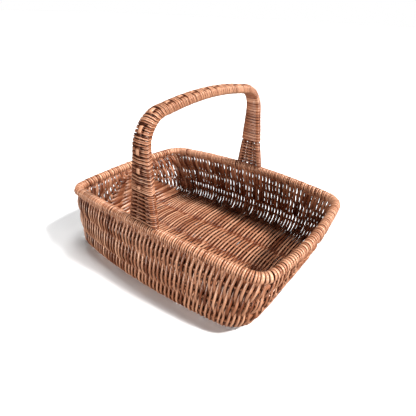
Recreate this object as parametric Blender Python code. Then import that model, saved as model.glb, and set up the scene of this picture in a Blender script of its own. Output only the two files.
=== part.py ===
"""Rectangular willow mushroom basket with a fixed bow handle.

Metres, Z up, X along the basket's length, the ground at Z = 0. The body is a tray whose walls run from
the rim's outline down to the floor's outline. All woven layers, rib rods and bindings follow that surface.
"""

import functools
import math

import bmesh
import bpy
import numpy as np

# Rim: the hoop's centre line
RIM_HALF_LENGTH = 0.210
RIM_HALF_WIDTH = 0.153
RIM_CORNER_RADIUS = 0.020
RIM_END_BOW = 0.012
RIM_SIDE_BOW = 0.014
RIM_HEIGHT = 0.1225
RIM_END_DROP = 0.0073
HOOP_RADIUS = 0.0055

# Floor: the outline that the walls lead to, in the middle of the wall's thickness. It is shorter than
# the rim and wider, and its ends are a little hollow.
FLOOR_END_INSET = 0.037
FLOOR_SIDE_OUTSET = 0.011
FLOOR_CORNER_RADIUS = 0.031
FLOOR_END_HOLLOW = 0.007
FLOOR_SIDE_BOW = 0.0144
FLOOR_EDGE_RADIUS = 0.025
WALL_BELLY = 0.006

# Rods and clearances
WEAVER_DIAMETER = 0.003
RIB_RADIUS = 0.00225
LAYER_CLEARANCE = 0.0007
SEAT_CLEARANCE = 0.0003
SEAM_CLEARANCE = 0.0014

# Ribs on each side of the middle: two on the floor, half a pitch and one and a half from the middle, and
# three in the wall. They run from end to end, drawing together, and their tips lie in the end weaves.
FLOOR_RIB_PITCH = 0.066
WALL_RIB_HEIGHTS = (0.028, 0.059, 0.096)
RIB_NAMES = ("floor_rib_inner", "floor_rib_outer", "wall_rib_low", "wall_rib_middle", "wall_rib_high")

# Weave that hangs from each end rim: half its width at the rim, and its depth down the end wall
END_WEAVE_HALF_SPAN = 0.118
END_WEAVE_DEPTH = 0.100

# Handle: heights are above the rim's centre line
HANDLE_HEIGHT = 0.1676
HANDLE_CORNER_RADIUS = 0.0459
HANDLE_CROWN = 0.0085
HANDLE_LEAN = 0.0052
HANDLE_ROD_RADIUS = 0.0048
HANDLE_WRAP_THICKNESS = 0.0026
HANDLE_TOP_HALF_WIDTH = 0.0128
HANDLE_SHOULDER_HALF_WIDTH = 0.0155
HANDLE_LEG_HALF_WIDTH = 0.0185
FOOT_WEAVE_HEIGHT = 0.062
FOOT_TOP_HALF_WIDTH = 0.0215
FOOT_HALF_WIDTH = 0.031
MIDDLE_ROD_FOOT_RADIUS = 0.0036
MIDDLE_ROD_TIP_RADIUS = 0.0020
FAN_ROD_FOOT_RADIUS = 0.0030
FAN_ROD_TIP_RADIUS = 0.0012
LISTING_HALF_WIDTH = 0.0035
LISTING_THICKNESS = 0.0012

# Facets
ROD_SIDES = 6
RIB_SIDES = 5
WRAP_SIDES = 8
SIDE_STEPS = 8
CORNER_STEPS = 7
FOOT_STEPS = 3
LEG_STEPS = 5

FLOOR_HALF_LENGTH = RIM_HALF_LENGTH - FLOOR_END_INSET
FLOOR_HALF_WIDTH = RIM_HALF_WIDTH + FLOOR_SIDE_OUTSET
FLAT_HALF_WIDTH = FLOOR_HALF_WIDTH - FLOOR_EDGE_RADIUS
WRAP_RADIUS = HOOP_RADIUS + SEAT_CLEARANCE + WEAVER_DIAMETER
LAYER_INSIDE = RIB_RADIUS + LAYER_CLEARANCE
LAYER_OUTSIDE = LAYER_INSIDE + WEAVER_DIAMETER
FLOOR_MIDDLE = LAYER_OUTSIDE
WALL_TOP = RIM_HEIGHT - math.sqrt(WRAP_RADIUS**2 - LAYER_INSIDE**2) - SEAT_CLEARANCE
STRAND_PLACES = np.array([0.0, 0.25, 0.48, 0.62, 0.69, 0.74, 0.79, 0.83, 0.87, 0.91, 0.94, 0.97, 1.0])
LINE_STEPS = (1, 2, 2, 3, 2, 2, 1)
END_SIZES = np.array([0.85, 0.7, 0.55, 0.4, 0.26, 0.12])
RIB_END_SIZES = END_SIZES[:2]
FINE_STEPS = 160


def clear_scene():
    for thing in list(bpy.data.objects):
        bpy.data.objects.remove(thing)


def outline_radius(angles, half_length, half_width, corner, end_bow, side_bow):
    """Distance from the middle to a bowed rectangle with round corners, at each angle."""
    a = half_length - end_bow
    b = half_width - side_bow
    up = np.linspace(0.0, b - corner, 40)
    turn = np.linspace(0.0, math.pi / 2, 40)
    back = np.linspace(a - corner, 0.0, 60)
    x = np.concatenate([np.full(40, a), a - corner + corner * np.cos(turn), back])
    y = np.concatenate([up, b - corner + corner * np.sin(turn), np.full(60, b)])
    bowed_x = x * (1 + end_bow / a * (1 - (y / b) ** 2))
    bowed_y = y * (1 + side_bow / b * (1 - (x / a) ** 2))
    known = np.arctan2(bowed_y, bowed_x)
    wanted = np.arctan2(np.abs(np.sin(angles)), np.abs(np.cos(angles)))
    return np.interp(wanted, known, np.hypot(bowed_x, bowed_y))


def wall_radius(angles, height):
    """Distance from the middle to the tray's wall, at an angle and a height."""
    rim = outline_radius(
        angles, RIM_HALF_LENGTH, RIM_HALF_WIDTH, RIM_CORNER_RADIUS, RIM_END_BOW, RIM_SIDE_BOW
    )
    floor = outline_radius(
        angles, FLOOR_HALF_LENGTH, FLOOR_HALF_WIDTH, FLOOR_CORNER_RADIUS, -FLOOR_END_HOLLOW, FLOOR_SIDE_BOW
    )
    share = (RIM_HEIGHT - height) / (RIM_HEIGHT - FLOOR_MIDDLE)
    above = np.clip(height - FLOOR_MIDDLE, 0.0, FLOOR_EDGE_RADIUS)
    rounding = FLOOR_EDGE_RADIUS - np.sqrt(FLOOR_EDGE_RADIUS**2 - (FLOOR_EDGE_RADIUS - above) ** 2)
    belly = WALL_BELLY * np.sin(math.pi * np.clip(share, 0.0, 1.0))
    return rim + (floor - rim) * share + belly - rounding


def wall_point(angles, height):
    radius = wall_radius(angles, height)
    return np.stack([radius * np.cos(angles), radius * np.sin(angles), height + 0 * angles], -1)


def along(points):
    """Length from the first point to each point of a line."""
    steps = np.linalg.norm(np.diff(points, axis=0), axis=1)
    return np.concatenate([[0.0], np.cumsum(steps)])


def at_length(points, lengths):
    """Points of a line at the wanted lengths along it."""
    known = along(points)
    return np.stack([np.interp(lengths, known, points[:, k]) for k in range(3)], -1)


def middle_line():
    """The tray's profile on its long axis, from the floor's middle to the top of the end wall."""
    height = FLOOR_MIDDLE + (WALL_TOP - FLOOR_MIDDLE) * np.linspace(0.0, 1.0, 800) ** 2
    end = wall_point(0 * height, height)
    return np.concatenate([[[0.0, 0.0, FLOOR_MIDDLE]], end])


def top_line():
    """The wall's top edge, from the middle of a long side to the middle of an end."""
    angles = np.linspace(math.pi / 2, 0.0, 800)
    return wall_point(angles, np.full(800, WALL_TOP))


MIDDLE_LINE = middle_line()
TOP_LINE = top_line()
TOP_SPAN = along(TOP_LINE)[-1] - END_WEAVE_HALF_SPAN
MIDDLE_SPAN = along(MIDDLE_LINE)[-1] - END_WEAVE_DEPTH


@functools.lru_cache(maxsize=None)
def strand(place):
    """Half of one crosswise weaver, from the middle line to the back rim. Place is 0 amid, 1 at the seam."""
    top = at_length(TOP_LINE, [TOP_SPAN * place])[0]
    middle = at_length(MIDDLE_LINE, [TOP_SPAN * place + (MIDDLE_SPAN - TOP_SPAN) * place**3])[0]
    centre = np.array([top[0], 0.0, top[2]])
    down = (middle - centre) / np.linalg.norm(middle - centre)
    turn = np.linspace(0.0, math.pi / 2, FINE_STEPS)[:, None]
    ways = np.cos(turn) * down + np.sin(turn) * np.array([0.0, 1.0, 0.0])
    low = np.zeros(FINE_STEPS)
    high = np.full(FINE_STEPS, 0.4)
    for _ in range(40):
        half = (low + high) / 2
        spot = centre + ways * half[:, None]
        radius = wall_radius(np.arctan2(spot[:, 1], spot[:, 0]), spot[:, 2])
        within = (spot[:, 2] > FLOOR_MIDDLE) & (np.hypot(spot[:, 0], spot[:, 1]) < radius)
        low = np.where(within, half, low)
        high = np.where(within, high, half)
    points = centre + ways * low[:, None]
    points[0] = middle
    points[-1] = top
    return points


def surface_frame(place, share):
    """Point and outward direction on the trough. Share is -1 at the front rim, 1 at the back rim."""
    side = np.where(np.asarray(share) < 0, -1.0, 1.0)
    end = -1.0 if place < 0 else 1.0
    size = abs(place)
    step = 0.004
    before, here, after = (
        strand(value) for value in (max(size - step, 0.0), size, min(size + step, 1.0))
    )
    spots = []
    for line in (before, here, after):
        spots.append(at_length(line, np.abs(share) * along(line)[-1]))
    reach = along(here)[-1]
    nearer = at_length(here, np.clip(np.abs(share) - 0.01, 0, 1) * reach)
    further = at_length(here, np.clip(np.abs(share) + 0.01, 0, 1) * reach)
    normal = np.cross(further - nearer, spots[2] - spots[0])
    normal /= np.linalg.norm(normal, axis=1)[:, None]
    flip = np.stack([end + 0 * side, side, 1 + 0 * side], -1)
    return spots[1] * flip, normal * flip


def outward(points, normals):
    """The directions, each turned so that it points away from the basket's inside."""
    inside = np.array([0.0, 0.0, RIM_HEIGHT])
    away = np.einsum("...k,...k->...", points - inside, normals)
    return normals * np.where(away < 0, -1.0, 1.0)[..., None]


def rib_share(length):
    """Share of the middle strand's length, from the middle line."""
    return length / along(strand(0.0))[-1]


def rib_shares():
    """Crosswise places of the ribs on one side, from the floor up to the rim."""
    middle = strand(0.0)
    wall = np.interp(WALL_RIB_HEIGHTS, middle[:, 2], along(middle))
    lengths = (FLOOR_RIB_PITCH / 2, FLOOR_RIB_PITCH * 3 / 2, *wall)
    return np.array([rib_share(length) for length in lengths])


def crosswise_lines():
    """Crosswise places of the layers' grid lines on one side. Each rib lies on one of them."""
    inner, outer, *wall = rib_shares()
    knots = (0.0, inner, outer, rib_share(FLAT_HALF_WIDTH), *wall, 1.0)
    lines = [np.linspace(*ends, steps, endpoint=False) for *ends, steps in zip(knots, knots[1:], LINE_STEPS)]
    return np.concatenate([*lines, [1.0]])


def mirrored(values):
    return np.concatenate([-values[:0:-1], values])


def sag(points):
    """Lowers the rim's ends: the hoop is a little saddle-shaped."""
    lowered = np.array(points, float)
    lift = np.clip(lowered[:, 2] / RIM_HEIGHT, 0.0, 1.0)
    lowered[:, 2] -= RIM_END_DROP * (lowered[:, 0] / RIM_HALF_LENGTH) ** 2 * lift
    return lowered


def add_solid(name, points, faces, material):
    """One named object from points and faces, with its faces turned outward."""
    mesh = bpy.data.meshes.new(name)
    mesh.from_pydata(sag(points).tolist(), [], faces)
    mesh.materials.append(material)
    work = bmesh.new()
    work.from_mesh(mesh)
    bmesh.ops.recalc_face_normals(work, faces=work.faces)
    work.to_mesh(mesh)
    work.free()
    thing = bpy.data.objects.new(name, mesh)
    bpy.context.scene.collection.objects.link(thing)
    return thing


def ring_faces(first, second):
    """Quads between two loops of point numbers."""
    count = len(first)
    return [
        (first[k], first[(k + 1) % count], second[(k + 1) % count], second[k]) for k in range(count)
    ]


def add_rod(name, sections, material, closed=False):
    """A solid lofted through sections, each an array of the section's corners."""
    count = len(sections[0])
    loops = [list(range(k * count, (k + 1) * count)) for k in range(len(sections))]
    faces = []
    for first, second in zip(loops, loops[1:]):
        faces += ring_faces(first, second)
    if closed:
        faces += ring_faces(loops[-1], loops[0])
    else:
        faces += [tuple(loops[0]), tuple(loops[-1])]
    return add_solid(name, np.concatenate(sections), faces, material)


def add_sleeve(name, outer, inner, material):
    """A hollow solid with open ends, lofted through outer and inner sections."""
    count = len(outer[0])
    start = count * len(outer)
    far = [list(range(k * count, (k + 1) * count)) for k in range(len(outer))]
    near = [[start + number for number in loop] for loop in far]
    faces = []
    for k in range(len(outer) - 1):
        faces += ring_faces(far[k], far[k + 1])
        faces += ring_faces(near[k], near[k + 1])
    faces += ring_faces(far[0], near[0])
    faces += ring_faces(far[-1], near[-1])
    return add_solid(name, np.concatenate([*outer, *inner]), faces, material)


def add_layer(name, grid, normals, nearest, furthest, material):
    """A closed sheet between two distances from a grid of surface points."""
    rows, columns = grid.shape[:2]
    near = (grid + normals * nearest).reshape(-1, 3)
    far = (grid + normals * furthest).reshape(-1, 3)
    other = rows * columns
    number = np.arange(other).reshape(rows, columns)
    faces = []
    for i in range(rows - 1):
        for j in range(columns - 1):
            square = (number[i, j], number[i, j + 1], number[i + 1, j + 1], number[i + 1, j])
            faces.append(square)
            faces.append(tuple(other + k for k in square))
    border = [*number[0, :], *number[1:, -1], *number[-1, -2::-1], *number[-2:0:-1, 0]]
    faces += ring_faces(border, [other + k for k in border])
    faces = [tuple(int(k) for k in face) for face in faces]
    return add_solid(name, np.concatenate([near, far]), faces, material)


def round_sections(points, normals, radius, sides, closed=False):
    """Round sections along a line. The normals set where the first corner lies."""
    if closed:
        ways = np.roll(points, -1, 0) - np.roll(points, 1, 0)
    else:
        ways = np.gradient(points, axis=0)
    ways /= np.linalg.norm(ways, axis=1)[:, None]
    normals = normals - np.einsum("ij,ij->i", normals, ways)[:, None] * ways
    normals /= np.linalg.norm(normals, axis=1)[:, None]
    across = np.cross(ways, normals)
    radii = np.broadcast_to(radius, (len(points),))
    sections = []
    for point, normal, side, size in zip(points, normals, across, radii):
        turn = 2 * math.pi * (np.arange(sides) + 0.5)[:, None] / sides
        sections.append(point + size * (np.cos(turn) * normal + np.sin(turn) * side))
    return sections


def ring_angles(start, finish, steps, height):
    """Angles between two angles on the wall, closer together where it bends."""
    fine = np.linspace(start, finish, 2000)
    line = wall_point(fine, np.full(len(fine), height))
    bend = np.abs(np.gradient(np.unwrap(np.arctan2(*np.gradient(line, axis=0)[:, 1::-1].T))))
    weight = np.concatenate([[0.0], np.cumsum(np.linalg.norm(np.diff(line, axis=0), axis=1))])
    weight = weight / weight[-1] + 2.0 * np.cumsum(bend) / max(np.sum(bend), 1e-9)
    wanted = np.linspace(weight[0], weight[-1], steps + 1)
    return np.interp(wanted, weight, fine)


def rim_line(start, finish, steps):
    """Points and outward directions on the hoop's centre line, between two angles."""
    angles = ring_angles(start, finish, steps, RIM_HEIGHT)
    points = wall_point(angles, np.full(len(angles), RIM_HEIGHT))
    normals = np.stack([np.cos(angles), np.sin(angles), 0 * angles], -1)
    return points, normals


def foot_angle():
    """Angle, from the middle of a long side, at which the rim wrap stops beside a handle foot."""
    return math.atan2(FOOT_HALF_WIDTH + SEAT_CLEARANCE, RIM_HALF_WIDTH)


def add_hoop(material):
    points, normals = rim_line(-math.pi, math.pi, 4 * (SIDE_STEPS + CORNER_STEPS))
    sections = round_sections(points[:-1], normals[:-1], HOOP_RADIUS, ROD_SIDES, closed=True)
    add_rod("rim_hoop", sections, material, closed=True)


def hoop_sleeve(name, start, finish, steps, material):
    """A binding round the hoop between two angles."""
    points, normals = rim_line(start, finish, steps)
    bore = (HOOP_RADIUS + SEAT_CLEARANCE) / math.cos(math.pi / WRAP_SIDES)
    outer = round_sections(points, normals, WRAP_RADIUS, WRAP_SIDES)
    inner = round_sections(points, normals, bore, WRAP_SIDES)
    add_sleeve(name, outer, inner, material)


def add_rim_bindings(material):
    foot = foot_angle()
    quarter = math.pi / 2
    steps = 2 * (SIDE_STEPS + CORNER_STEPS)
    hoop_sleeve("rim_wrap_right", -quarter + foot, quarter - foot, steps, material)
    hoop_sleeve("rim_wrap_left", quarter + foot, 3 * quarter - foot, steps, material)
    edge = foot - SEAT_CLEARANCE / RIM_HALF_WIDTH
    hoop_sleeve("back_foot_binding", quarter - edge, quarter + edge, 2, material)
    hoop_sleeve("front_foot_binding", -quarter - edge, -quarter + edge, 2, material)


def wall_directions(angles, height):
    """Outward directions on the wall, from its slope along and up."""
    step = 0.0005
    turn = wall_point(angles + step, height) - wall_point(angles - step, height)
    rise = wall_point(angles, height + step) - wall_point(angles, height - step)
    normals = np.cross(turn, rise)
    return normals / np.linalg.norm(normals, axis=1)[:, None]


def end_lines(shares, size):
    """Angles and heights of one U-shaped weaver of the right end. Size is 1 at the seam, 0 at the rim."""
    seam = strand(1.0)
    low = at_length(seam, np.abs(shares) * along(seam)[-1])
    angles = np.arctan2(low[:, 1], low[:, 0]) * np.where(shares < 0, -1.0, 1.0)
    return angles * size, WALL_TOP + (low[:, 2] - WALL_TOP) * size


def end_frame(shares, size):
    """Points and outward directions on the right end."""
    angles, heights = end_lines(shares, size)
    points = wall_point(angles, heights)
    return points, outward(points, wall_directions(angles, heights))


def add_rib(name, share, material):
    """One rib, along the floor or a long wall and up into both ends."""
    shares = np.array([share])
    rows = [surface_frame(place, shares) for place in mirrored(STRAND_PLACES)]
    rows = [(point, outward(point, way)) for point, way in rows]
    tips = [end_frame(shares, size) for size in RIB_END_SIZES]
    flip = np.array([-1.0, 1.0, 1.0])
    far_tips = [(point * flip, way * flip) for point, way in tips[::-1]]
    points, ways = zip(*far_tips, *rows, *tips)
    sections = round_sections(np.concatenate(points), np.concatenate(ways), RIB_RADIUS, RIB_SIDES)
    add_rod(name, sections, material)


def add_ribs(material):
    for name, share in zip(RIB_NAMES, rib_shares()):
        add_rib(f"front_{name}", -share, material)
        add_rib(f"back_{name}", share, material)


def add_crosswise_layers(material):
    """The weavers that go down one long wall, over the floor and up the other."""
    shares = mirrored(crosswise_lines())
    rows = [surface_frame(place, shares) for place in mirrored(STRAND_PLACES)]
    grid = np.stack([row[0] for row in rows])
    normals = outward(grid, np.stack([row[1] for row in rows]))
    add_layer("crosswise_weave_outer", grid, normals, LAYER_INSIDE, LAYER_OUTSIDE, material)
    add_layer("crosswise_weave_inner", grid, normals, -LAYER_INSIDE, -LAYER_OUTSIDE, material)


def add_end_layers(material):
    """The weavers that hang from each end rim, one inside the other, in two layers."""
    shares = mirrored(crosswise_lines())
    sizes = [1.0 - SEAM_CLEARANCE / END_WEAVE_DEPTH, *END_SIZES]
    points, ways = zip(*[end_frame(shares, size) for size in sizes])
    for word, sign in (("right", 1.0), ("left", -1.0)):
        flip = np.array([sign, 1.0, 1.0])
        grid, normals = np.stack(points) * flip, np.stack(ways) * flip
        add_layer(f"{word}_end_weave_outer", grid, normals, LAYER_INSIDE, LAYER_OUTSIDE, material)
        add_layer(f"{word}_end_weave_inner", grid, normals, -LAYER_INSIDE, -LAYER_OUTSIDE, material)


def handle_line():
    """The handle's middle line from the front foot to the top of its bow: Y and height above the rim."""
    foot = WRAP_RADIUS + SEAT_CLEARANCE
    shoulder = RIM_HALF_WIDTH - HANDLE_LEAN
    leg_top = HANDLE_HEIGHT - HANDLE_CORNER_RADIUS
    low = np.linspace(foot, FOOT_WEAVE_HEIGHT, FOOT_STEPS + 1)
    high = np.linspace(FOOT_WEAVE_HEIGHT + SEAT_CLEARANCE, leg_top, LEG_STEPS + 1)
    heights = np.concatenate([low, high])
    points = [(-RIM_HALF_WIDTH + HANDLE_LEAN * height / leg_top, height) for height in heights]
    for turn in np.radians(np.linspace(0, 90, 7)[1:]):
        y = -shoulder + HANDLE_CORNER_RADIUS * (1 - math.cos(turn))
        points.append((y, leg_top + HANDLE_CORNER_RADIUS * math.sin(turn)))
    start = shoulder - HANDLE_CORNER_RADIUS
    for y in np.linspace(-start, 0.0, 6)[1:]:
        points.append((y, HANDLE_HEIGHT + HANDLE_CROWN * (1 - (y / start) ** 2)))
    return np.array(points)


def handle_stations():
    """Points, outward directions and half widths along the whole handle, front to back."""
    half = handle_line()
    line = np.concatenate([half, half[-2::-1] * [-1, 1]])
    points = np.stack([0 * line[:, 0], line[:, 0], line[:, 1] + RIM_HEIGHT], -1)
    ways = np.gradient(points, axis=0)
    ways /= np.linalg.norm(ways, axis=1)[:, None]
    normals = np.cross([1.0, 0.0, 0.0], ways)
    leg_top = HANDLE_HEIGHT - HANDLE_CORNER_RADIUS
    heights = [0.0, FOOT_WEAVE_HEIGHT, (FOOT_WEAVE_HEIGHT + leg_top) / 2, leg_top, HANDLE_HEIGHT]
    widths = [
        FOOT_HALF_WIDTH,
        FOOT_TOP_HALF_WIDTH,
        HANDLE_LEG_HALF_WIDTH,
        HANDLE_SHOULDER_HALF_WIDTH,
        HANDLE_TOP_HALF_WIDTH,
    ]
    half_widths = np.interp(line[:, 1], heights, widths)
    return points, normals, half_widths


def flat_section(point, normal, half_width, half_height):
    """An eight-sided rounded section across the handle."""
    corner = half_height * (2 - math.sqrt(2))
    side = np.array([1.0, 0.0, 0.0])
    spots = []
    for x, y in ((1, -1), (1, 1), (-1, 1), (-1, -1)):
        flat = point + side * x * (half_width - corner) + normal * y * half_height
        upright = point + side * x * half_width + normal * y * (half_height - corner)
        spots += [flat, upright] if x * y < 0 else [upright, flat]
    return np.array(spots)


def rod_offsets(half_widths):
    return half_widths - HANDLE_WRAP_THICKNESS - SEAT_CLEARANCE - HANDLE_ROD_RADIUS


def add_handle_rods(material):
    points, normals, half_widths = handle_stations()
    side = np.array([1.0, 0.0, 0.0])
    offsets = rod_offsets(half_widths)
    for word, sign in (("left", -1.0), ("right", 1.0)):
        line = points + sign * offsets[:, None] * side
        sections = round_sections(line, normals, HANDLE_ROD_RADIUS, ROD_SIDES)
        add_rod(f"handle_main_rod_{word}", sections, material)


def add_leg_rods(material):
    """The rods pushed in between the main rods from below: one amid each leg and two that fan out."""
    points, normals, half_widths = handle_stations()
    offsets = rod_offsets(half_widths)
    side = np.array([1.0, 0.0, 0.0])
    low = FOOT_STEPS + 1
    count = low + LEG_STEPS
    middle_radii = np.linspace(MIDDLE_ROD_FOOT_RADIUS, MIDDLE_ROD_TIP_RADIUS, count)
    fan_radii = np.linspace(FAN_ROD_FOOT_RADIUS, FAN_ROD_TIP_RADIUS, low)
    for word, order in (("front", slice(None)), ("back", slice(None, None, -1))):
        line, ways = points[order], normals[order]
        sections = round_sections(line[:count], ways[:count], middle_radii, ROD_SIDES)
        add_rod(f"{word}_leg_middle_rod", sections, material)
        main_edge = offsets[:low] - HANDLE_ROD_RADIUS
        places = (main_edge + middle_radii[:low]) / 2
        for hand, sign in (("left", -1.0), ("right", 1.0)):
            fan = line[:low] + sign * places[:, None] * side
            sections = round_sections(fan, ways[:low], fan_radii, ROD_SIDES)
            add_rod(f"{word}_foot_fan_rod_{hand}", sections, material)


def handle_sleeve(name, first, last, material):
    """The binding round the handle's rods, between two stations."""
    points, normals, half_widths = handle_stations()
    bore = HANDLE_ROD_RADIUS + SEAT_CLEARANCE
    outer, inner = [], []
    for k in range(first, last + 1):
        outer.append(flat_section(points[k], normals[k], half_widths[k], bore + HANDLE_WRAP_THICKNESS))
        inner.append(flat_section(points[k], normals[k], half_widths[k] - HANDLE_WRAP_THICKNESS, bore))
    add_sleeve(name, outer, inner, material)


def add_handle_bindings(wrap_material, weave_material):
    last = len(handle_stations()[0]) - 1
    handle_sleeve("front_foot_weave", 0, FOOT_STEPS, weave_material)
    handle_sleeve("handle_wrap", FOOT_STEPS + 1, last - FOOT_STEPS - 1, wrap_material)
    handle_sleeve("back_foot_weave", last - FOOT_STEPS, last, weave_material)


def add_listing(material):
    """The flat strip along the outside of the handle."""
    points, normals, _ = handle_stations()
    start = HANDLE_ROD_RADIUS + HANDLE_WRAP_THICKNESS + 2 * SEAT_CLEARANCE
    side = np.array([1.0, 0.0, 0.0]) * LISTING_HALF_WIDTH
    sections = []
    for point, normal in zip(points[FOOT_STEPS:-FOOT_STEPS], normals[FOOT_STEPS:-FOOT_STEPS]):
        low = point + normal * start
        high = low + normal * LISTING_THICKNESS
        sections.append(np.array([low - side, low + side, high + side, high - side]))
    add_rod("handle_listing_strip", sections, material)


def plain_material(name, colour):
    material = bpy.data.materials.new(name)
    material.use_nodes = True
    shader = material.node_tree.nodes["Principled BSDF"]
    shader.inputs["Base Color"].default_value = (*colour, 1.0)
    shader.inputs["Roughness"].default_value = 0.55
    return material


def main():
    clear_scene()
    rod = plain_material("peeled_willow_rod", (0.45, 0.24, 0.12))
    weave = plain_material("buff_willow_weave", (0.50, 0.28, 0.15))
    wrap = plain_material("buff_willow_skein", (0.54, 0.30, 0.16))
    add_hoop(rod)
    add_rim_bindings(wrap)
    add_ribs(rod)
    add_crosswise_layers(weave)
    add_end_layers(weave)
    add_handle_rods(rod)
    add_leg_rods(rod)
    add_handle_bindings(wrap, weave)
    add_listing(wrap)


if __name__ == "__main__":
    main()
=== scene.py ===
"""Mushroom basket: willow rods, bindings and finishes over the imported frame. Metres, Z up."""

import math

import bpy
import numpy as np
from mathutils import Matrix


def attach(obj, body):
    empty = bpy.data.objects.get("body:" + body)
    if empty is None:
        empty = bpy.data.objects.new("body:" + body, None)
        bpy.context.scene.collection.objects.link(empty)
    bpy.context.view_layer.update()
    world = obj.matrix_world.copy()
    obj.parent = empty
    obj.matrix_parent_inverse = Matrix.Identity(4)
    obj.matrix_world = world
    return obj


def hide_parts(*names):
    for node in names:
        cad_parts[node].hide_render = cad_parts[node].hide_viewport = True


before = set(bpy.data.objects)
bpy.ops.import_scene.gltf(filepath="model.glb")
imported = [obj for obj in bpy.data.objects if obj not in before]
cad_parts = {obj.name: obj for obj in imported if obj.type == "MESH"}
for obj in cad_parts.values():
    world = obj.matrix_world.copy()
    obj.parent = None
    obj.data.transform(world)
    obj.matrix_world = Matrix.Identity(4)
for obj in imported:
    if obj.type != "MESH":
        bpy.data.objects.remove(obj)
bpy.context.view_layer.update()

bl_info = {
    "name": "Mushroom basket",
    "version": (1, 0, 0),
    "blender": (4, 5, 0),
    "location": "3D View > Sidebar > Basket",
    "description": "Weaves a willow basket over its packed frame",
    "category": "Add Mesh",
}

# Sizes of the frame, as in the part's source
RIM_HALF_LENGTH = 0.210
RIM_HALF_WIDTH = 0.153
RIM_CORNER_RADIUS = 0.020
RIM_END_BOW = 0.012
RIM_SIDE_BOW = 0.014
RIM_HEIGHT = 0.1225
RIM_END_DROP = 0.0073
HOOP_RADIUS = 0.0055
FLOOR_HALF_LENGTH = 0.173
FLOOR_HALF_WIDTH = 0.164
FLOOR_CORNER_RADIUS = 0.031
FLOOR_END_HOLLOW = 0.007
FLOOR_SIDE_BOW = 0.0144
FLOOR_EDGE_RADIUS = 0.025
WALL_BELLY = 0.006
RIB_RADIUS = 0.00225
FLOOR_MIDDLE = 0.00595
WALL_TOP = 0.1139
FLOOR_RIB_PITCH = 0.066
WALL_RIB_HEIGHTS = (0.028, 0.059, 0.096)
END_WEAVE_HALF_SPAN = 0.118
END_WEAVE_DEPTH = 0.100
HANDLE_HEIGHT = 0.1676
HANDLE_FOOT = 0.0091
HANDLE_CORNER_RADIUS = 0.0459
HANDLE_CROWN = 0.0085
HANDLE_LEAN = 0.0052
HANDLE_ROD_RADIUS = 0.0048
HANDLE_HALF_WIDTHS = (0.031, 0.0215, 0.0185, 0.0155, 0.0128)
HANDLE_WRAP_THICKNESS = 0.0026
FOOT_WEAVE_HEIGHT = 0.062
MIDDLE_ROD_RADIUS = 0.0036
FAN_ROD_RADIUS = 0.0030
LISTING_HALF_WIDTH = 0.0035
LISTING_THICKNESS = 0.0012
SEAT_GAP = 0.0003

# Camera, fitted to the photograph
CAMERA_PLACE = (0.3273, -0.4425, 0.4053)
CAMERA_AZIMUTH = 35.94
CAMERA_ELEVATION = 29.93
CAMERA_ROLL = 2.26
CAMERA_LENS = 29.19
CAMERA_SENSOR = 36.0

# Each lamp's way back towards it, its width in degrees and its strength
LAMPS = {
    "window_light": ((0.9, 0.24, 1.0), 8.0, 5.1),
    "front_light": ((-0.25, -1.0, 0.06), 20.0, 3.0),
    "side_light": ((1.0, -0.12, 0.12), 20.0, 2.8),
    "top_light": ((0.05, 0.15, 1.0), 25.0, 2.0),
    "low_light": ((0.1, -0.3, -1.0), 40.0, 0.8),
}
SURROUND_LIGHT = 0.07
STAGE_SIZE = 60.0
FLOOR_BOUNCE = 0.1
WHITE = (1.0, 1.0, 1.0, 1.0)
WARM_SHINE = (1.0, 0.87, 0.76, 1.0)

# How finely curves and surfaces are followed
LINE_STEPS = 800
PLACE_STEPS = 121
SHARE_STEPS = 181
STRAND_STEPS = 220
END_STEPS = 200
RIM_STEPS = 3000
LEG_STEPS = 60
ROD_SIDES = 7
TURN_SIDES = 6

SEED = 11
UV_SHIFT = 7.3

# How the rods lie. Along a rod, a share of 0 is the tray's middle and 1 is the rim
ROD_REACH = 0.995
FLOOR_SHARE = 0.52
FLOOR_BLEND = 0.03
WANDER = 0.0003
U_SQUARENESS = 0.7
SQUARE_FROM = 0.65
# From the rim, gap 3 between ribs goes round the floor's edge. There the rods swing later
EDGE_GAP = 3
EDGE_LEAN = 1.9

# The skein's start inside the foot, and the listing strip's rhythm in turns of the skein
SKEIN_OVERLAP = 0.002
LISTING_PERIOD = 10.0
LISTING_SHOWN = 4.0
LISTING_RAMP = 0.8

ASIDE = np.array([1.0, 0.0, 0.0])
UP = np.array([0.0, 0.0, 1.0])


def metres(name, description, default):
    """A size that the user may change."""
    return bpy.props.FloatProperty(name=name, description=description, default=default, unit="LENGTH")


def tint(name, description, default):
    """A colour that the user may change."""
    return bpy.props.FloatVectorProperty(
        name=name, description=description, default=default, subtype="COLOR"
    )


class BasketSizes(bpy.types.PropertyGroup):
    """Sizes of the willow and how closely it is laid."""

    weaver_diameter: metres("Weaver diameter", "Thickness of a wall rod", 0.0036)
    shown_width: metres("Shown width", "Rod width on the outside of the walls", 0.0047)
    floor_width: metres("Floor width", "Rod width on top of the floor", 0.0051)
    spread_width: metres("Spread width", "Rod width inside the walls and under the floor", 0.0071)
    wall_pitch: metres("Wall pitch", "Distance between wall rods at the rim", 0.0041)
    end_pitch: metres("End pitch", "Distance between end rods at the rim", 0.0042)
    pair_gap: metres("Pair gap", "Extra gap between pairs of rods", 0.0002)
    rim_pitch: metres("Rim turn pitch", "Distance between turns on the rim", 0.0034)
    skein_pitch: metres("Skein pitch", "Distance between handle turns", 0.0027)
    foot_pitch: metres("Foot pitch", "Distance between rows in the feet", 0.0031)
    top_slant: metres("Top slant", "Sideways run of a rod between two ribs", 0.0036)


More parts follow.
